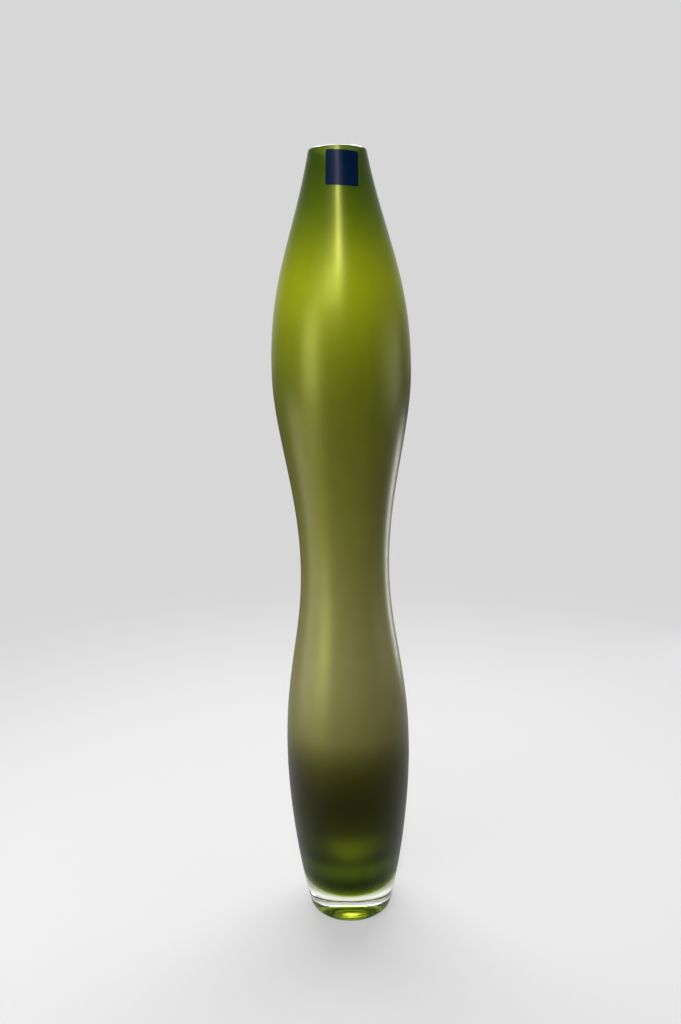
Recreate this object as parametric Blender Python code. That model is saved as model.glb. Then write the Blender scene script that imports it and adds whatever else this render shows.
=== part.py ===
"""Tall glass vase with two bulges: clear casing with a thick foot, green inner layer, blank label.

The glass is turned about the Z axis. The front, where the label is, faces -Y.
"""

import math

import bmesh
import bpy
from mathutils import Vector
from mathutils.geometry import interpolate_bezier

MM = 0.001

# Outer form, heights above the table
TOTAL_HEIGHT = 500 * MM
SHOULDER_HEIGHT = 369 * MM
WAIST_HEIGHT = 242.5 * MM
BELLY_HEIGHT = 115 * MM
HEEL_HEIGHT = 3.5 * MM

MOUTH_RADIUS = 17.7 * MM
SHOULDER_RADIUS = 43.8 * MM
WAIST_RADIUS = 29 * MM
BELLY_RADIUS = 41.4 * MM
HEEL_RADIUS = 28.3 * MM
FOOT_RADIUS = 25.3 * MM

# How far the wall leans from upright where it leaves the heel, and where it reaches the mouth
HEEL_FLARE = math.radians(13.8)
MOUTH_TAPER = math.radians(11.7)

# How much of each stretch's height stays near its end's direction, from the foot up
HEEL_SHARE = 0.24
UNDER_BELLY_SHARE = 0.35
OVER_BELLY_SHARE = 0.45
UNDER_WAIST_SHARE = 0.36
OVER_WAIST_SHARE = 0.40
UNDER_SHOULDER_SHARE = 0.30
OVER_SHOULDER_SHARE = 0.44
MOUTH_SHARE = 0.40

# Walls, at the height where the bowls at the bottom have ended
CASING_WALL = 1.5 * MM
LAYER_WALL = 1.4 * MM
LAYER_GAP = 0.3 * MM
RIM_ROUNDING = 0.6 * MM

# Hollow ground into the underside, inside the flat foot ring
PUNT_RADIUS = 18 * MM
PUNT_DEPTH = 6 * MM

# Bowl of the casing, in which the green layer's rounded bottom sits
CASING_FLOOR = 14.2 * MM
CASING_BOWL_HEIGHT = 66 * MM
CASING_BOWL_REACH = 25 * MM
CASING_BOWL_DROP = 34 * MM

# Bowl of the water space, above the thick bottom of the green layer
LAYER_FLOOR = 10.5 * MM
WATER_BOWL_HEIGHT = 80 * MM
WATER_BOWL_REACH = 21 * MM
WATER_BOWL_DROP = 40 * MM

# Label on the front of the neck
LABEL_WIDTH = 20 * MM
LABEL_HEIGHT = 21 * MM
LABEL_CORNER = 1.2 * MM
LABEL_THICKNESS = 0.2 * MM
LABEL_GAP = 0.3 * MM
LABEL_BELOW_RIM = 3 * MM
LABEL_TURN = math.radians(7.8)
LABEL_TILT = math.radians(-3.7)

# Fineness of the meshes
TURN_STEPS = 48
STRETCH_STEPS = 7
HEEL_STEPS = 4
BOWL_STEPS = 8
ROUNDING_STEPS = 3
PUNT_STEPS = 5
LABEL_COLUMNS = 10
LABEL_ROWS = 6
CORNER_STEPS = 3
WELD = 0.001 * MM
SHARP_ANGLE = math.radians(35)

# Handle length that makes a curve follow a quarter of an ellipse
ELLIPSE_SHARE = 0.5523


def curve(start, start_handle, end_handle, end, steps):
    """Points along one Bezier stretch, both ends included."""
    points = interpolate_bezier(
        Vector(start), Vector(start_handle), Vector(end_handle), Vector(end), steps + 1)
    return [(point.x, point.y) for point in points]


def joined(*stretches):
    """One outline from stretches that each start where the one before ends."""
    outline = list(stretches[0])
    for stretch in stretches[1:]:
        outline += stretch[1:]
    return outline


def wall_stretch(low, high, steps):
    """Wall between two knots, each as radius, height, radius gained per height and share of the stretch."""
    (low_radius, low_height, low_slope, low_share) = low
    (high_radius, high_height, high_slope, high_share) = high
    rise = high_height - low_height
    low_rise = low_share * rise
    high_rise = high_share * rise
    return curve(
        (low_radius, low_height),
        (low_radius + low_slope * low_rise, low_height + low_rise),
        (high_radius - high_slope * high_rise, high_height - high_rise),
        (high_radius, high_height),
        steps,
    )


def outer_wall(steps):
    """Outer wall from the heel up to the start of the rim's rounding, as (radius, height) points."""
    flare = math.tan(HEEL_FLARE)
    taper = -math.tan(MOUTH_TAPER)
    rim_start = TOTAL_HEIGHT - RIM_ROUNDING
    return joined(
        wall_stretch(
            (HEEL_RADIUS, HEEL_HEIGHT, flare, HEEL_SHARE),
            (BELLY_RADIUS, BELLY_HEIGHT, 0, UNDER_BELLY_SHARE), steps),
        wall_stretch(
            (BELLY_RADIUS, BELLY_HEIGHT, 0, OVER_BELLY_SHARE),
            (WAIST_RADIUS, WAIST_HEIGHT, 0, UNDER_WAIST_SHARE), steps),
        wall_stretch(
            (WAIST_RADIUS, WAIST_HEIGHT, 0, OVER_WAIST_SHARE),
            (SHOULDER_RADIUS, SHOULDER_HEIGHT, 0, UNDER_SHOULDER_SHARE), steps),
        wall_stretch(
            (SHOULDER_RADIUS, SHOULDER_HEIGHT, 0, OVER_SHOULDER_SHARE),
            (MOUTH_RADIUS, rim_start, taper, MOUTH_SHARE), steps),
    )


def radius_at(wall, height):
    """Radius of a wall outline at a height, between its points."""
    for (low_radius, low_height), (high_radius, high_height) in zip(wall, wall[1:]):
        if low_height <= height <= high_height:
            share = (height - low_height) / (high_height - low_height)
            return low_radius + share * (high_radius - low_radius)
    return wall[-1][0]


def slope_at(wall, height):
    """Radius that a wall outline gains per height, at a height."""
    for (low_radius, low_height), (high_radius, high_height) in zip(wall, wall[1:]):
        if low_height <= height <= high_height:
            return (high_radius - low_radius) / (high_height - low_height)
    return 0


def inset_wall(inset, lowest):
    """Outer wall moved inward by a wall's thickness, from a height up to the rim's rounding."""
    outer = outer_wall(STRETCH_STEPS)
    bottom = (radius_at(outer, lowest) - inset, lowest)
    least_step = (TOTAL_HEIGHT - HEEL_HEIGHT) / (len(outer) * STRETCH_STEPS)
    return [bottom] + [(radius - inset, height) for radius, height in outer if height > lowest + least_step]


def bowl(wall, floor, reach, drop):
    """Rounded bottom, from the axis at the floor's height out to the foot of a wall and in its direction."""
    join_radius, join_height = wall[0]
    slope = slope_at(outer_wall(STRETCH_STEPS), join_height)
    wall_handle = (join_radius - slope * drop, join_height - drop)
    return curve((0, floor), (reach, floor), wall_handle, (join_radius, join_height), BOWL_STEPS)


def quarter(start, end, corner):
    """Quarter of an ellipse from start to end, bulging towards the corner."""
    handles = [
        tuple(place + ELLIPSE_SHARE * (target - place) for place, target in zip(point, corner))
        for point in (start, end)
    ]
    return curve(start, handles[0], handles[1], end, ROUNDING_STEPS)


def casing_outline():
    """Casing from the middle of its bowl, up inside, over the rim, down outside and under the foot."""
    inner = inset_wall(CASING_WALL, CASING_BOWL_HEIGHT)
    inside = bowl(inner, CASING_FLOOR, CASING_BOWL_REACH, CASING_BOWL_DROP) + inner[1:]
    rim_inner = (inner[-1][0], TOTAL_HEIGHT)
    outer = outer_wall(STRETCH_STEPS)
    outer.reverse()
    rim_outer = (MOUTH_RADIUS - RIM_ROUNDING, TOTAL_HEIGHT)
    rounding = quarter(rim_outer, outer[0], (MOUTH_RADIUS, TOTAL_HEIGHT))
    heel = curve(
        (HEEL_RADIUS, HEEL_HEIGHT),
        (HEEL_RADIUS - math.tan(HEEL_FLARE) * ELLIPSE_SHARE * HEEL_HEIGHT, HEEL_HEIGHT * (1 - ELLIPSE_SHARE)),
        (FOOT_RADIUS + ELLIPSE_SHARE * (HEEL_RADIUS - FOOT_RADIUS), 0),
        (FOOT_RADIUS, 0), HEEL_STEPS)
    return inside + [rim_inner] + joined(rounding, outer, heel) + punt()


def punt():
    """Spherical hollow of the underside, from its edge on the foot ring to the axis."""
    sphere = (PUNT_RADIUS ** 2 + PUNT_DEPTH ** 2) / (2 * PUNT_DEPTH)
    edge_angle = math.asin(PUNT_RADIUS / sphere)
    points = []
    for step in range(PUNT_STEPS + 1):
        angle = edge_angle * (1 - step / PUNT_STEPS)
        points.append((sphere * math.sin(angle), PUNT_DEPTH - sphere * (1 - math.cos(angle))))
    return points


def layer_outline():
    """Green layer from the middle of the water bowl, up inside, over the rim and down beside the casing."""
    water_wall = inset_wall(CASING_WALL + LAYER_GAP + LAYER_WALL, WATER_BOWL_HEIGHT)
    water_floor = CASING_FLOOR + LAYER_GAP + LAYER_FLOOR
    inside = bowl(water_wall, water_floor, WATER_BOWL_REACH, WATER_BOWL_DROP) + water_wall[1:]
    lip_radius = inside[-1][0]
    rounding = quarter(inside[-1], (lip_radius + RIM_ROUNDING, TOTAL_HEIGHT), (lip_radius, TOTAL_HEIGHT))
    backed_wall = inset_wall(CASING_WALL + LAYER_GAP, CASING_BOWL_HEIGHT)
    backed_floor = CASING_FLOOR + LAYER_GAP
    backed = bowl(backed_wall, backed_floor, CASING_BOWL_REACH, CASING_BOWL_DROP) + backed_wall[1:]
    backed.append((backed_wall[-1][0], TOTAL_HEIGHT))
    backed.reverse()
    return joined(inside, rounding) + backed


def add_object(name, mesh_data, material):
    """Object of a mesh under construction, shaded smooth but for its real edges."""
    mesh = bpy.data.meshes.new(name)
    mesh_data.to_mesh(mesh)
    mesh_data.free()
    mesh.materials.append(material)
    mesh.shade_smooth()
    mesh.set_sharp_from_angle(angle=SHARP_ANGLE)
    made = bpy.data.objects.new(name, mesh)
    bpy.context.scene.collection.objects.link(made)
    return made


def turned(name, outline, material):
    """Closed body made by turning an outline, which runs down its outer side, about the Z axis."""
    body = bmesh.new()
    points = [body.verts.new((radius, 0, height)) for radius, height in outline]
    edges = [body.edges.new(pair) for pair in zip(points, points[1:])]
    bmesh.ops.spin(
        body, geom=points + edges, axis=(0, 0, 1), cent=(0, 0, 0),
        angle=math.tau, steps=TURN_STEPS, use_merge=True)
    bmesh.ops.remove_doubles(body, verts=body.verts, dist=WELD)
    bmesh.ops.recalc_face_normals(body, faces=body.faces)
    return add_object(name, body, material)


def label_rows():
    """Rows of the label from the bottom up, each as its height from the middle and its half width."""
    half_height = LABEL_HEIGHT / 2
    half_width = LABEL_WIDTH / 2
    corner = []
    for step in range(CORNER_STEPS + 1):
        angle = math.pi / 2 * step / CORNER_STEPS
        corner.append((
            half_height - LABEL_CORNER * (1 - math.cos(angle)),
            half_width - LABEL_CORNER * (1 - math.sin(angle))))
    straight = half_height - LABEL_CORNER
    middle = [(straight * (2 * row / LABEL_ROWS - 1), half_width) for row in range(1, LABEL_ROWS)]
    return [(-height, width) for height, width in corner] + middle + corner[::-1]


def add_label(material):
    """Label bent round the neck, turned and tilted from the front, as a sheet thickened outward."""
    wall = outer_wall(STRETCH_STEPS)
    lean = math.cos(MOUTH_TAPER)
    middle_height = TOTAL_HEIGHT - LABEL_BELOW_RIM - LABEL_HEIGHT / 2 * lean
    sheet = bmesh.new()
    rows = []
    for up, half_width in label_rows():
        row = []
        for column in range(LABEL_COLUMNS + 1):
            across = half_width * (2 * column / LABEL_COLUMNS - 1)
            along = across * math.cos(LABEL_TILT) - up * math.sin(LABEL_TILT)
            rise = across * math.sin(LABEL_TILT) + up * math.cos(LABEL_TILT)
            height = middle_height + rise * lean
            radius = radius_at(wall, height) + LABEL_GAP / lean
            angle = LABEL_TURN + along / radius
            row.append(sheet.verts.new((radius * math.sin(angle), -radius * math.cos(angle), height)))
        rows.append(row)
    for low, high in zip(rows, rows[1:]):
        for column in range(LABEL_COLUMNS):
            sheet.faces.new((low[column], low[column + 1], high[column + 1], high[column]))
    label = add_object("blank_label", sheet, material)
    thicken = label.modifiers.new("thickness", "SOLIDIFY")
    thicken.thickness = LABEL_THICKNESS
    thicken.offset = 1
    return label


def add_material(name, colour, roughness, transmission):
    """Principled material of one piece."""
    material = bpy.data.materials.new(name)
    material.use_nodes = True
    shader = material.node_tree.nodes["Principled BSDF"]
    shader.inputs["Base Color"].default_value = (*colour, 1)
    shader.inputs["Roughness"].default_value = roughness
    shader.inputs["Metallic"].default_value = 0
    shader.inputs["IOR"].default_value = 1.5
    shader.inputs["Transmission Weight"].default_value = transmission
    return material


def build():
    for old in list(bpy.data.objects):
        bpy.data.objects.remove(old, do_unlink=True)
    satin_clear = add_material("satin_clear_glass", (0.93, 0.95, 0.88), 0.3, 0.95)
    green = add_material("green_glass", (0.36, 0.42, 0.03), 0.05, 0.85)
    navy = add_material("navy_label", (0.01, 0.015, 0.05), 0.25, 0)
    turned("clear_casing", casing_outline(), satin_clear)
    turned("green_layer", layer_outline(), green)
    add_label(navy)


build()
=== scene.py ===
"""Looks of the tall glass vase: satin clear glass over a green inner layer, in a pale studio."""

import math

import bmesh
import bpy
from mathutils import Matrix, Vector
from mathutils.geometry import interpolate_bezier


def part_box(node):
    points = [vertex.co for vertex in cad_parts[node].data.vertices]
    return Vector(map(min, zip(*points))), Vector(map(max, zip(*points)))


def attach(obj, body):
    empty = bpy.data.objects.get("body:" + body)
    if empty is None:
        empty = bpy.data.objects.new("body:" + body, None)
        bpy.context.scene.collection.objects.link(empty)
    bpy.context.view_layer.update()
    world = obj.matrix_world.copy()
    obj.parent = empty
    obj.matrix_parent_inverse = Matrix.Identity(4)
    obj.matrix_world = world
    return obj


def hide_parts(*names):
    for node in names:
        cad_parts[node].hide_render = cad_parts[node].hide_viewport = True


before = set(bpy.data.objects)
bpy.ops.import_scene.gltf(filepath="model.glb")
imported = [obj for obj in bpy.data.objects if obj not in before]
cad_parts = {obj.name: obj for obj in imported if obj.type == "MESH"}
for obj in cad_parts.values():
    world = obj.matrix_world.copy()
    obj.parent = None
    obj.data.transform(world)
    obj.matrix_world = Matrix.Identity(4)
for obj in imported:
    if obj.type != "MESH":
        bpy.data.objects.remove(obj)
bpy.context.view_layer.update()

MM = 0.001

# Outer form: height and widest radius from the frame, the rest as in the part's source
HIGH_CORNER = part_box("clear_casing")[1]
TOTAL_HEIGHT = HIGH_CORNER.z
SHOULDER_RADIUS = HIGH_CORNER.x
SHOULDER_HEIGHT = 369 * MM
WAIST_HEIGHT = 242.5 * MM
BELLY_HEIGHT = 115 * MM
HEEL_HEIGHT = 3.5 * MM
MOUTH_RADIUS = 17.7 * MM
WAIST_RADIUS = 29 * MM
BELLY_RADIUS = 41.4 * MM
HEEL_RADIUS = 28.3 * MM
FOOT_RADIUS = 25.3 * MM
HEEL_FLARE = math.radians(13.8)
MOUTH_TAPER = math.radians(11.7)

# How much of each stretch's height stays near its end's direction, from the foot up
HEEL_SHARE = 0.24
UNDER_BELLY_SHARE = 0.35
OVER_BELLY_SHARE = 0.45
UNDER_WAIST_SHARE = 0.36
OVER_WAIST_SHARE = 0.40
UNDER_SHOULDER_SHARE = 0.30
OVER_SHOULDER_SHARE = 0.44
MOUTH_SHARE = 0.40

# Handle length that makes a curve follow a quarter of an ellipse
ELLIPSE_SHARE = 0.5523

# Walls and bowls. The whole wall is the casing's wall, the joint and the green layer's wall.
CASING_WALL = 1.5 * MM
WHOLE_WALL = 3.2 * MM
RIM_ROUNDING = 0.6 * MM
PUNT_RADIUS = 18 * MM
PUNT_DEPTH = 6 * MM
CASING_FLOOR = 14.2 * MM
CASING_BOWL_HEIGHT = 66 * MM
CASING_BOWL_REACH = 25 * MM
CASING_BOWL_DROP = 34 * MM
WATER_FLOOR = 25 * MM
WATER_BOWL_HEIGHT = 80 * MM
WATER_BOWL_REACH = 21 * MM
WATER_BOWL_DROP = 40 * MM

# How deep the green layer lies under the glass surface of the water space
BOND = 0.06 * MM

# Label on the neck
LABEL_WIDTH = 20 * MM
LABEL_HEIGHT = 21 * MM
LABEL_CORNER = 1.2 * MM
LABEL_THICKNESS = 0.15 * MM
LABEL_GAP = 0.05 * MM
LABEL_BELOW_RIM = 3 * MM
LABEL_TURN = math.radians(7.8)
LABEL_TILT = math.radians(-3.7)

# Fineness of the meshes
TURN_STEPS = 160
STRETCH_STEPS = 28
BOWL_STEPS = 28
ROUNDING_STEPS = 8
LABEL_COLUMNS = 40
LABEL_ROWS = 24
CORNER_STEPS = 8
WELD = 0.001 * MM
SHARP_ANGLE = math.radians(40)

# Casing's outside by height above the table, in metres: colour, roughness, and share of clear
# transmission. The colour is the green glass's tint with light and shade painted into it. The foot
# is clear, and the bands over it are painted rings of light that the bowl of the water space makes.
# The lower belly, which faces down to the floor, is painted dark as shade. The belly's top carries
# a painted milky sheen. The part under the shoulder is painted darker as shade, and the top of the
# shoulder is painted bright as a highlight.
TINT_WITH_PAINTED_LIGHT = (
    (0.012, (1.0, 1.0, 0.96)),
    (0.017, (1.0, 1.0, 0.96)),
    (0.0215, (0.36, 0.42, 0.12)),
    (0.025, (0.03, 0.05, 0.004)),
    (0.031, (0.002, 0.006, 0.0001)),
    (0.037, (0.022, 0.038, 0.001)),
    (0.042, (0.034, 0.052, 0.002)),
    (0.047, (0.006, 0.009, 0.0005)),
    (0.053, (0.012, 0.015, 0.001)),
    (0.059, (0.030, 0.035, 0.001)),
    (0.072, (0.006, 0.007, 0.0003)),
    (0.098, (0.004, 0.004, 0.0002)),
    (0.118, (0.030, 0.028, 0.004)),
    (0.135, (0.100, 0.091, 0.027)),
    (0.180, (0.138, 0.127, 0.053)),
    (0.250, (0.094, 0.090, 0.017)),
    (0.350, (0.045, 0.055, 0.002)),
    (0.395, (0.11, 0.13, 0.003)),
    (0.425, (0.24, 0.27, 0.004)),
    (0.460, (0.055, 0.095, 0.002)),
    (0.500, (0.015, 0.035, 0.001)),
)
SATIN = (
    (0.018, 0.03),
    (0.0235, 0.04),
    (0.0265, 0.33),
    (0.034, 0.34),
    (0.360, 0.36),
    (0.420, 0.285),
    (0.500, 0.285),
)
CLEARNESS = (
    (0.075, 1.0),
    (0.110, 0.75),
    (0.140, 0.45),
    (0.390, 0.45),
    (0.440, 0.70),
    (0.500, 0.80),
)

# Plain number of the socket that the clearness is linked to, read where links aren't followed
MEAN_CLEARNESS = 0.75

# Tint of the satin's shine
SATIN_SHEEN = (0.42, 0.42, 0.10, 1)

# Soft spots of a surface, each as size, least and most. The tint, the satin and the ink are
# multiplied by theirs, and the other four are roughnesses.
TINT_SPOTS = (12 * MM, 0.96, 1.04)
SATIN_SPOTS = (20 * MM, 0.99, 1.06)
INSIDE_SPOTS = (8 * MM, 0.01, 0.03)
RING_SPOTS = (8 * MM, 0.36, 0.44)
HOLLOW_SPOTS = (8 * MM, 0.02, 0.05)
INK_SPOTS = (2 * MM, 0.9, 1.1)
FILM_SPOTS = (3 * MM, 0.29, 0.35)
SPOT_DETAIL = 3

# Part of the noise's range that is spread over least to most
NOISE_SPAN = (0.3, 0.7)

# Ripples of hand-blown glass: how far apart round the vase and up it, and how deep
RIPPLE_SPREAD = 60 * MM
RIPPLE_RISE = 9 * MM
RIPPLE_DEPTH = 0.05 * MM
RIPPLE_DETAIL = 2

# Clear glass, the green layer, which lies in it without a surface of its own, and the label's
# film, its colour in sRGB from 0 to 255
GLASS_IOR = 1.5
CLEAR_COLOUR = (1, 1, 0.98, 1)
RING_CLEARNESS = 0.45
LAYER_IOR = 1.0
LAYER_SURFACE = (1, 1, 0.9, 1)
LAYER_DEPTH_COLOUR = (0.68, 0.75, 0.0, 1)
LAYER_DENSITY = 190
NAVY = (1, 11, 30)
FILM_SPECULAR = 0.025

# Camera, from the photograph: 31.7 mm lens on a sensor whose long side is 36 mm
PICTURE_HEIGHT = 1024
SENSOR = 36
FOCAL_PIXELS = 903
CAMERA_DISTANCE = 574.7 * MM
CAMERA_HEIGHT = 391.8 * MM
CAMERA_ASIDE = -2.2 * MM
CAMERA_PITCH = math.radians(11.17)
CAMERA_ROLL = math.radians(-1.10)

# Studio: how bright the backdrop is, the darker walls that reflections see in front of the vase,
# how far back they turn into the backdrop, from -1 in front to 1 behind, and the light all round
BACKDROP = 0.68
FRONT_WALLS = 0.12
WALLS_SPAN = (0.45, 1.0)
AMBIENT = 0.14
WHITE = (1, 1, 1, 1)
BLACK = (0, 0, 0, 1)

# Floor: its lit colour near the vase fades into a glow of the backdrop's brightness further out.
# Seen through glass it glows most under the foot. Spans are metres from the axis.
FLOOR_REACH = 6.0
FLOOR_DROP = 0.2 * MM
FLOOR_COLOUR = (0.115, 0.115, 0.115, 1)
FLOOR_ROUGHNESS = 0.9
FLOOR_GLOW = 0.38
FADE_SPAN = (0.25, 0.95)
UNDER_FOOT_GLOW = 1.0
BEHIND_FOOT_GLOW = 0.25
UNDER_FOOT_SPAN = (0.028, 0.05)

# Soft lamps: name, place, what it aims at, width and height in metres, power in watts
LAMPS = (
    ("softbox", (-1.18, -0.99, 0.40), (0, 0, 0.36), 0.66, 0.74, 25),
    ("side", (-0.47, -0.17, 0.13), (0, 0, 0.13), 0.62, 0.22, 1.8),
    ("rim", (0.52, 0.50, 0.085), (0, 0, 0.20), 0.11, 0.165, 0.65),
    ("fill", (1.50, -0.07, 0.30), (0, 0, 0.28), 1.1, 0.58, 6.2),
    ("streak", (-0.02, -0.98, 1.145), (0, 0, 0.44), 0.07, 0.10, 13),
    ("glow", (-0.24, -0.99, 0.92), (0, 0, 0.42), 0.54, 0.26, 9),
    ("sweep", (-0.66, -0.86, 0.76), (0, 0, 0.42), 0.42, 0.42, 3.5),
    ("back", (0.03, 0.50, 1.20), (0, 0, 0.03), 1.2, 0.55, 58),
)


def curve(start, start_handle, end_handle, end, steps):
    """Points along one Bezier stretch, both ends included."""
    points = interpolate_bezier(
        Vector(start), Vector(start_handle), Vector(end_handle), Vector(end), steps + 1)
    return [(point.x, point.y) for point in points]


def joined(*stretches):
    """One outline from stretches that each start where the one before ends."""
    outline = list(stretches[0])
    for stretch in stretches[1:]:
        outline += stretch[1:]
    return outline


def wall_stretch(low, high):
    """Wall between two knots, each as radius, height, radius gained per height and share."""
    (low_radius, low_height, low_slope, low_share) = low
    (high_radius, high_height, high_slope, high_share) = high
    rise = high_height - low_height
    low_rise = low_share * rise
    high_rise = high_share * rise
    return curve(
        (low_radius, low_height),
        (low_radius + low_slope * low_rise, low_height + low_rise),
        (high_radius - high_slope * high_rise, high_height - high_rise),
        (high_radius, high_height),
        STRETCH_STEPS,
    )


def outer_wall():
    """Outer wall from the heel up to the rim's rounding, as (radius, height) points."""
    flare = math.tan(HEEL_FLARE)
    taper = -math.tan(MOUTH_TAPER)
    rim_start = TOTAL_HEIGHT - RIM_ROUNDING
    return joined(
        wall_stretch(
            (HEEL_RADIUS, HEEL_HEIGHT, flare, HEEL_SHARE),
            (BELLY_RADIUS, BELLY_HEIGHT, 0, UNDER_BELLY_SHARE)),
        wall_stretch(
            (BELLY_RADIUS, BELLY_HEIGHT, 0, OVER_BELLY_SHARE),
            (WAIST_RADIUS, WAIST_HEIGHT, 0, UNDER_WAIST_SHARE)),
        wall_stretch(
            (WAIST_RADIUS, WAIST_HEIGHT, 0, OVER_WAIST_SHARE),
            (SHOULDER_RADIUS, SHOULDER_HEIGHT, 0, UNDER_SHOULDER_SHARE)),
        wall_stretch(
            (SHOULDER_RADIUS, SHOULDER_HEIGHT, 0, OVER_SHOULDER_SHARE),
            (MOUTH_RADIUS, rim_start, taper, MOUTH_SHARE)),
    )


def radius_at(wall, height):
    """Radius of a wall outline at a height, between its points."""
    for (low_radius, low_height), (high_radius, high_height) in zip(wall, wall[1:]):
        if low_height <= height <= high_height:
            share = (height - low_height) / (high_height - low_height)
            return low_radius + share * (high_radius - low_radius)
    return wall[-1][0]


def slope_at(wall, height):
    """Radius that a wall outline gains per height, at a height."""
    for (low_radius, low_height), (high_radius, high_height) in zip(wall, wall[1:]):
        if low_height <= height <= high_height:
            return (high_radius - low_radius) / (high_height - low_height)
    return 0


def inset_wall(inset, lowest):
    """Outer wall moved inward by a wall's thickness, from a height up to the rim's rounding."""
    outer = outer_wall()
    bottom = (radius_at(outer, lowest) - inset, lowest)
    above = [(radius - inset, height) for radius, height in outer if height > lowest + inset]
    return [bottom] + above


def bowl(wall, floor, reach, drop):
    """Rounded bottom, from the axis at the floor's height out to the foot of a wall."""
    join_radius, join_height = wall[0]
    slope = slope_at(outer_wall(), join_height)
    wall_handle = (join_radius - slope * drop, join_height - drop)
    return curve((0, floor), (reach, floor), wall_handle, (join_radius, join_height), BOWL_STEPS)


def quarter(start, end, corner):
    """Quarter of an ellipse from start to end, bulging towards the corner."""
    handles = [
        tuple(place + ELLIPSE_SHARE * (target - place) for place, target in zip(point, corner))
        for point in (start, end)
    ]
    return curve(start, handles[0], handles[1], end, ROUNDING_STEPS)


def water_side(inset, top, lip):
    """Cavity's surface moved into the glass by an inset, from the axis up to the lip's rounding."""
    wall = inset_wall(WHOLE_WALL - inset, WATER_BOWL_HEIGHT)
    inside = bowl(wall, WATER_FLOOR - inset, WATER_BOWL_REACH, WATER_BOWL_DROP) + wall[1:]
    lip_radius = inside[-1][0]
    if lip:
        return joined(inside, quarter(inside[-1], (lip_radius + lip, top), (lip_radius, top)))
    return inside + [(lip_radius, top)]


def punt():
    """Spherical hollow of the underside, from its edge on the foot ring to the axis."""
    sphere = (PUNT_RADIUS ** 2 + PUNT_DEPTH ** 2) / (2 * PUNT_DEPTH)
    edge_angle = math.asin(PUNT_RADIUS / sphere)
    points = []
    for step in range(ROUNDING_STEPS + 1):
        angle = edge_angle * (1 - step / ROUNDING_STEPS)
        points.append((sphere * math.sin(angle), PUNT_DEPTH - sphere * (1 - math.cos(angle))))
    return points


def rim_rounding():
    """Outer rounding of the rim, without the point where the wall starts."""
    rim_outer = (MOUTH_RADIUS - RIM_ROUNDING, TOTAL_HEIGHT)
    wall_end = (MOUTH_RADIUS, TOTAL_HEIGHT - RIM_ROUNDING)
    return quarter(rim_outer, wall_end, (MOUTH_RADIUS, TOTAL_HEIGHT))[:-1]


def outside():
    """Outer surface from under the rim's rounding down to the foot ring."""
    outer = outer_wall()
    outer.reverse()
    heel_lean = math.tan(HEEL_FLARE) * ELLIPSE_SHARE * HEEL_HEIGHT
    heel = curve(
        (HEEL_RADIUS, HEEL_HEIGHT),
        (HEEL_RADIUS - heel_lean, HEEL_HEIGHT * (1 - ELLIPSE_SHARE)),
        (FOOT_RADIUS + ELLIPSE_SHARE * (HEEL_RADIUS - FOOT_RADIUS), 0),
        (FOOT_RADIUS, 0),
        ROUNDING_STEPS,
    )
    return joined(outer, heel)


def placed(name, data):
    """New object in the scene."""
    made = bpy.data.objects.new(name, data)
    bpy.context.scene.collection.objects.link(made)
    return made


def turned(name, stretches, materials):
    """Closed body turned about the Z axis from stretches of outline, each with its material."""
    body = bmesh.new()
    outline = [point for stretch in stretches for point in stretch]
    material_of_step = []
    for number, stretch in enumerate(stretches):
        material_of_step += [number] * len(stretch)
    rings = []
    for radius, height in outline:
        if radius < WELD:
            rings.append([body.verts.new((0, 0, height))])
            continue
        ring = []
        for step in range(TURN_STEPS):
            angle = math.tau * step / TURN_STEPS
            place = (radius * math.cos(angle), radius * math.sin(angle), height)
            ring.append(body.verts.new(place))
        rings.append(ring)
    for number, (first, second) in enumerate(zip(rings, rings[1:])):
        for step in range(TURN_STEPS):
            after = (step + 1) % TURN_STEPS
            around = (
                first[step % len(first)], first[after % len(first)],
                second[after % len(second)], second[step % len(second)],
            )
            # At the axis two of the four corners are the same point, and the face has three
            corners = [corner for turn, corner in enumerate(around) if corner not in around[:turn]]
            face = body.faces.new(corners)
            face.smooth = True
            face.material_index = material_of_step[number]
    bmesh.ops.recalc_face_normals(body, faces=body.faces)
    mesh = bpy.data.meshes.new(name)
    body.to_mesh(mesh)
    body.free()
    for material in materials:
        mesh.materials.append(material)
    mesh.set_sharp_from_angle(angle=SHARP_ANGLE)
    return placed(name, mesh)


def linear(colour):
    """Linear colour of an sRGB colour given in 0 to 255."""
    shares = [channel / 255 for channel in colour]
    return tuple(s / 12.92 if s <= 0.04045 else ((s + 0.055) / 1.055) ** 2.4 for s in shares)


def new_material(name):
    """Material with its node tree and its shader."""
    material = bpy.data.materials.new(name)
    material.use_nodes = True
    return material, material.node_tree, material.node_tree.nodes["Principled BSDF"]


def node(tree, kind, **values):
    """New node with some of its settings and plain inputs set."""
    made = tree.nodes.new(kind)
    for name, value in values.items():
        if name in made.inputs:
            made.inputs[name].default_value = value
        else:
            setattr(made, name, value)
    return made


def coordinate(tree, source, axis):
    """One axis of a texture coordinate."""
    place = node(tree, "ShaderNodeTexCoord")
    split = node(tree, "ShaderNodeSeparateXYZ")
    tree.links.new(place.outputs[source], split.inputs[0])
    return split.outputs[axis]


def mapped(tree, source, low, high, to_low, to_high, kind="LINEAR"):
    """Number that runs from to_low to to_high while the source runs from low to high."""
    made = node(tree, "ShaderNodeMapRange", interpolation_type=kind)
    made.inputs["From Min"].default_value = low
    made.inputs["From Max"].default_value = high
    made.inputs["To Min"].default_value = to_low
    made.inputs["To Max"].default_value = to_high
    tree.links.new(source, made.inputs["Value"])
    return made.outputs["Result"]


def choice(tree, switch, when_off, when_on):
    """Number that is one of two, each a plain number or a socket, by a switch of 0 or 1."""
    made = node(tree, "ShaderNodeMix")
    tree.links.new(switch, made.inputs["Factor"])
    for name, value in (("A", when_off), ("B", when_on)):
        if isinstance(value, float):
            made.inputs[name].default_value = value
        else:
            tree.links.new(value, made.inputs[name])
    return made.outputs["Result"]


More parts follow.
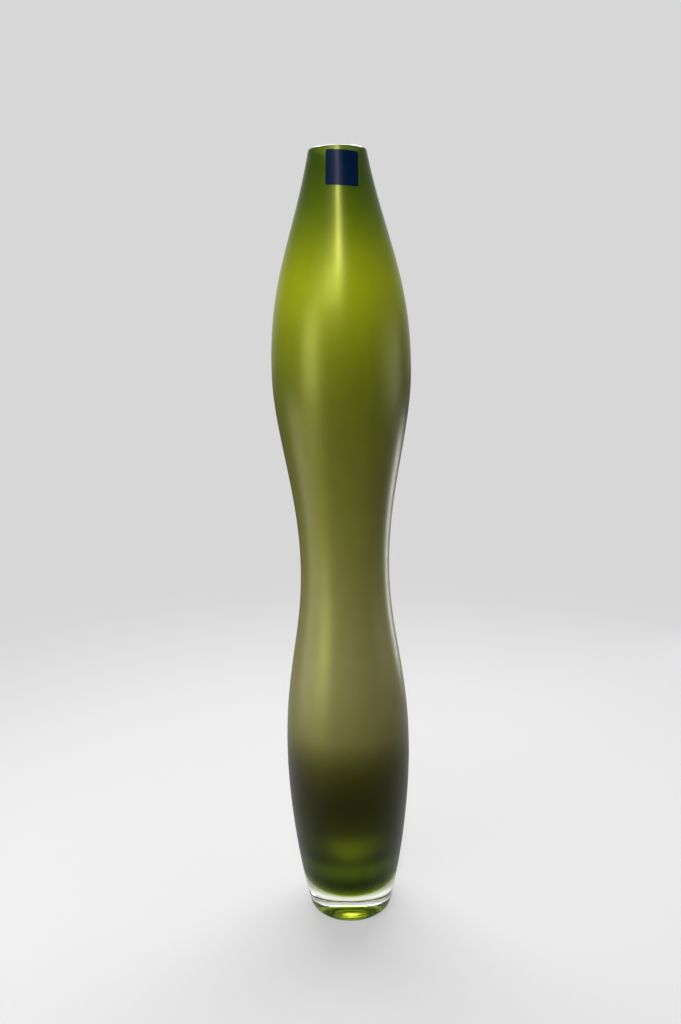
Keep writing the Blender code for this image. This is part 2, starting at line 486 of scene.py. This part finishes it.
def colour_ramp(tree, source, stops):
    """Colours along a share of the height, each stop as (height in metres, colour)."""
    made = node(tree, "ShaderNodeValToRGB")
    made.color_ramp.interpolation = "B_SPLINE"
    elements = made.color_ramp.elements
    while len(elements) < len(stops):
        elements.new(0.5)  # its real place follows
    for element, (height, colour) in zip(elements, stops):
        element.position = height / TOTAL_HEIGHT
        element.color = (*colour, 1)
    tree.links.new(source, made.inputs["Fac"])
    return made.outputs["Color"]


def shade_ramp(tree, source, stops):
    """Shades along a share of the height, each stop as (height in metres, shade)."""
    return colour_ramp(tree, source, [(height, (shade,) * 3) for height, shade in stops])


def mottling(tree, size, least, most):
    """Shade that wanders softly between two values, its spots about as large as the size."""
    place = node(tree, "ShaderNodeTexCoord")
    noise = node(tree, "ShaderNodeTexNoise", Scale=1 / size, Detail=SPOT_DETAIL)
    tree.links.new(place.outputs["Object"], noise.inputs["Vector"])
    return mapped(tree, noise.outputs["Fac"], *NOISE_SPAN, least, most)


def times(tree, colour, shade):
    """Colour times a shade."""
    product = node(tree, "ShaderNodeVectorMath", operation="SCALE")
    tree.links.new(colour, product.inputs[0])
    tree.links.new(shade, product.inputs["Scale"])
    return product.outputs["Vector"]


def ripples(tree, shader):
    """Faint unevenness of hand-blown glass, in rings."""
    place = node(tree, "ShaderNodeTexCoord")
    stretch = node(tree, "ShaderNodeMapping")
    stretch.inputs["Scale"].default_value = (1 / RIPPLE_SPREAD, 1 / RIPPLE_SPREAD, 1 / RIPPLE_RISE)
    tree.links.new(place.outputs["Object"], stretch.inputs["Vector"])
    noise = node(tree, "ShaderNodeTexNoise", Scale=1, Detail=RIPPLE_DETAIL)
    tree.links.new(stretch.outputs["Vector"], noise.inputs["Vector"])
    bump = node(tree, "ShaderNodeBump", Strength=1, Distance=RIPPLE_DEPTH)
    tree.links.new(noise.outputs["Fac"], bump.inputs["Height"])
    tree.links.new(bump.outputs["Normal"], shader.inputs["Normal"])


def satin_glass():
    """Outside of the casing: clear at the foot, satin above it, with a tint for each height that
    has light and shade painted into it.
    """
    material, tree, shader = new_material("satin_glass")
    share = mapped(tree, coordinate(tree, "Object", "Z"), 0, TOTAL_HEIGHT, 0, 1)
    # The tint by height carries painted shade, a painted sheen and a painted highlight over the
    # green glass's colour
    tint_with_painted_light = times(tree, colour_ramp(tree, share, TINT_WITH_PAINTED_LIGHT), mottling(tree, *TINT_SPOTS))
    tree.links.new(tint_with_painted_light, shader.inputs["Base Color"])
    satin = times(tree, shade_ramp(tree, share, SATIN), mottling(tree, *SATIN_SPOTS))
    tree.links.new(satin, shader.inputs["Roughness"])
    ripples(tree, shader)
    shader.inputs["Transmission Weight"].default_value = MEAN_CLEARNESS
    tree.links.new(shade_ramp(tree, share, CLEARNESS), shader.inputs["Transmission Weight"])
    shader.inputs["IOR"].default_value = GLASS_IOR
    shader.inputs["Specular Tint"].default_value = SATIN_SHEEN
    return material


def clear_glass(name, spots, clearness=1):
    """Clear glass, polished or ground."""
    material, tree, shader = new_material(name)
    shader.inputs["Base Color"].default_value = CLEAR_COLOUR
    tree.links.new(mottling(tree, *spots), shader.inputs["Roughness"])
    shader.inputs["IOR"].default_value = GLASS_IOR
    shader.inputs["Transmission Weight"].default_value = clearness
    return material


def green_glass():
    """Green layer: light passes its surface unbent and is coloured by the glass it goes through."""
    material, tree, shader = new_material("green_glass")
    shader.inputs["Base Color"].default_value = LAYER_SURFACE
    shader.inputs["Roughness"].default_value = 0
    shader.inputs["IOR"].default_value = LAYER_IOR
    shader.inputs["Transmission Weight"].default_value = 1
    depth = node(
        tree, "ShaderNodeVolumeAbsorption", Color=LAYER_DEPTH_COLOUR, Density=LAYER_DENSITY)
    tree.links.new(depth.outputs["Volume"], tree.nodes["Material Output"].inputs["Volume"])
    return material


def navy_film():
    """Blank dark blue film of the label."""
    material, tree, shader = new_material("navy_film")
    ink = node(tree, "ShaderNodeRGB")
    ink.outputs["Color"].default_value = (*linear(NAVY), 1)
    colour = times(tree, ink.outputs["Color"], mottling(tree, *INK_SPOTS))
    tree.links.new(colour, shader.inputs["Base Color"])
    tree.links.new(mottling(tree, *FILM_SPOTS), shader.inputs["Roughness"])
    shader.inputs["Specular IOR Level"].default_value = FILM_SPECULAR
    return material


def label_rows():
    """Rows of the label from the bottom up, each as its height from the middle and half width."""
    half_height = LABEL_HEIGHT / 2
    half_width = LABEL_WIDTH / 2
    corner = []
    for step in range(CORNER_STEPS + 1):
        angle = math.pi / 2 * step / CORNER_STEPS
        corner.append((
            half_height - LABEL_CORNER * (1 - math.cos(angle)),
            half_width - LABEL_CORNER * (1 - math.sin(angle))))
    straight = half_height - LABEL_CORNER
    middle = [(straight * (2 * row / LABEL_ROWS - 1), half_width) for row in range(1, LABEL_ROWS)]
    return [(-height, width) for height, width in corner] + middle + corner[::-1]


def add_label():
    """Label bent round the neck, as a sheet that is then thickened outward."""
    wall = outer_wall()
    lean = math.cos(MOUTH_TAPER)
    middle_height = TOTAL_HEIGHT - LABEL_BELOW_RIM - LABEL_HEIGHT / 2 * lean
    sheet = bmesh.new()
    rows = []
    for up, half_width in label_rows():
        row = []
        for column in range(LABEL_COLUMNS + 1):
            across = half_width * (2 * column / LABEL_COLUMNS - 1)
            along = across * math.cos(LABEL_TILT) - up * math.sin(LABEL_TILT)
            rise = across * math.sin(LABEL_TILT) + up * math.cos(LABEL_TILT)
            height = middle_height + rise * lean
            radius = radius_at(wall, height) + LABEL_GAP / lean
            angle = LABEL_TURN + along / radius
            place = (radius * math.sin(angle), -radius * math.cos(angle), height)
            row.append(sheet.verts.new(place))
        rows.append(row)
    for low, high in zip(rows, rows[1:]):
        for column in range(LABEL_COLUMNS):
            corners = (low[column], low[column + 1], high[column + 1], high[column])
            face = sheet.faces.new(corners)
            face.smooth = True
    mesh = bpy.data.meshes.new("label_film")
    sheet.to_mesh(mesh)
    sheet.free()
    mesh.materials.append(navy_film())
    label = placed("label_film", mesh)
    thicken = label.modifiers.new("thickness", "SOLIDIFY")
    thicken.thickness = LABEL_THICKNESS
    thicken.offset = 1
    return label


def add_casing():
    """Clear glass from the outside to the water space, in one closed body."""
    rim = water_side(0, TOTAL_HEIGHT, RIM_ROUNDING)
    down = outside()
    return turned(
        "glass_casing",
        [rim + rim_rounding(), down[:-1], down[-1:], punt()],
        [
            clear_glass("polished_glass", INSIDE_SPOTS),
            satin_glass(),
            clear_glass("ground_ring", RING_SPOTS, RING_CLEARNESS),
            clear_glass("polished_hollow", HOLLOW_SPOTS),
        ])


def add_layer():
    """Green layer inside the casing's body, from its thick rounded bottom up to the rim."""
    top = TOTAL_HEIGHT - BOND
    backed_wall = inset_wall(CASING_WALL, CASING_BOWL_HEIGHT)
    backed = bowl(backed_wall, CASING_FLOOR, CASING_BOWL_REACH, CASING_BOWL_DROP) + backed_wall[1:]
    backed.append((backed_wall[-1][0], top))
    backed.reverse()
    return turned("green_glass_layer", [water_side(BOND, top, 0), backed], [green_glass()])


def add_vase():
    """The three pieces, each in place of its CAD node."""
    casing = add_casing()
    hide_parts("clear_casing")
    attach(casing, "root")
    layer = add_layer()
    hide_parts("green_layer")
    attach(layer, "root")
    label = add_label()
    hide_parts("blank_label")
    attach(label, "root")


def add_camera():
    """Camera at the photograph's place."""
    data = bpy.data.cameras.new("camera")
    data.sensor_width = SENSOR
    data.lens = FOCAL_PIXELS * SENSOR / PICTURE_HEIGHT
    camera = placed("camera", data)
    place = Matrix.Translation((CAMERA_ASIDE, -CAMERA_DISTANCE, CAMERA_HEIGHT))
    pitch = Matrix.Rotation(math.pi / 2 - CAMERA_PITCH, 4, "X")
    roll = Matrix.Rotation(CAMERA_ROLL, 4, "Z")
    camera.matrix_world = place @ (pitch @ roll)
    bpy.context.scene.camera = camera


def pale_floor():
    """Floor that shows shadows near the vase and runs into the backdrop's tone further out."""
    material, tree, shader = new_material("pale_floor")
    place = node(tree, "ShaderNodeTexCoord")
    reach = node(tree, "ShaderNodeVectorMath", operation="LENGTH")
    tree.links.new(place.outputs["Object"], reach.inputs[0])
    distance = reach.outputs["Value"]
    fade = mapped(tree, distance, *FADE_SPAN, 0, 1, "SMOOTHSTEP")
    colour = node(tree, "ShaderNodeMix", data_type="RGBA")
    colour.inputs["A"].default_value = FLOOR_COLOUR
    colour.inputs["B"].default_value = BLACK
    tree.links.new(fade, colour.inputs["Factor"])
    seen = mapped(tree, fade, 0, 1, FLOOR_GLOW, BACKDROP)
    through_glass = mapped(
        tree, distance, *UNDER_FOOT_SPAN, UNDER_FOOT_GLOW, BEHIND_FOOT_GLOW, "SMOOTHSTEP")
    rays = node(tree, "ShaderNodeLightPath")
    glow = choice(tree, rays.outputs["Is Glossy Ray"], seen, FRONT_WALLS)
    glow = choice(tree, rays.outputs["Is Transmission Ray"], glow, through_glass)
    tree.links.new(colour.outputs["Result"], shader.inputs["Base Color"])
    shader.inputs["Roughness"].default_value = FLOOR_ROUGHNESS
    shader.inputs["Specular IOR Level"].default_value = 0
    shader.inputs["Emission Color"].default_value = WHITE
    tree.links.new(glow, shader.inputs["Emission Strength"])
    return material


def add_floor():
    """Wide floor, a little under the foot."""
    mesh = bpy.data.meshes.new("floor")
    far = FLOOR_REACH
    corners = [(-far, -far, 0), (far, -far, 0), (far, far, 0), (-far, far, 0)]
    mesh.from_pydata(corners, [], [(0, 1, 2, 3)])
    mesh.materials.append(pale_floor())
    floor = placed("floor", mesh)
    floor.location.z = -FLOOR_DROP


def add_world():
    """Pale backdrop, with soft light from all round and darker walls in front for reflections."""
    world = bpy.data.worlds.new("studio")
    world.use_nodes = True
    tree = world.node_tree
    rays = node(tree, "ShaderNodeLightPath")
    backward = coordinate(tree, "Generated", "Y")
    walls = mapped(tree, backward, *WALLS_SPAN, FRONT_WALLS, BACKDROP, "SMOOTHSTEP")
    strength = choice(tree, rays.outputs["Is Glossy Ray"], AMBIENT, walls)
    for kind in ("Is Transmission Ray", "Is Camera Ray"):
        strength = choice(tree, rays.outputs[kind], strength, BACKDROP)
    background = tree.nodes["Background"]
    background.inputs["Color"].default_value = WHITE
    tree.links.new(strength, background.inputs["Strength"])
    bpy.context.scene.world = world


def add_lamp(name, place, aim, width, height, power):
    """Rectangular soft lamp that faces what it aims at."""
    light = bpy.data.lights.new(name, "AREA")
    light.energy = power
    light.shape = "RECTANGLE"
    light.size = width
    light.size_y = height
    lamp = placed(name, light)
    lamp.location = place
    lamp.rotation_euler = (Vector(aim) - lamp.location).to_track_quat("-Z", "Y").to_euler()


add_vase()
add_camera()
add_floor()
add_world()
for lamp_values in LAMPS:
    add_lamp(*lamp_values)
bpy.context.scene.view_settings.view_transform = "Standard"
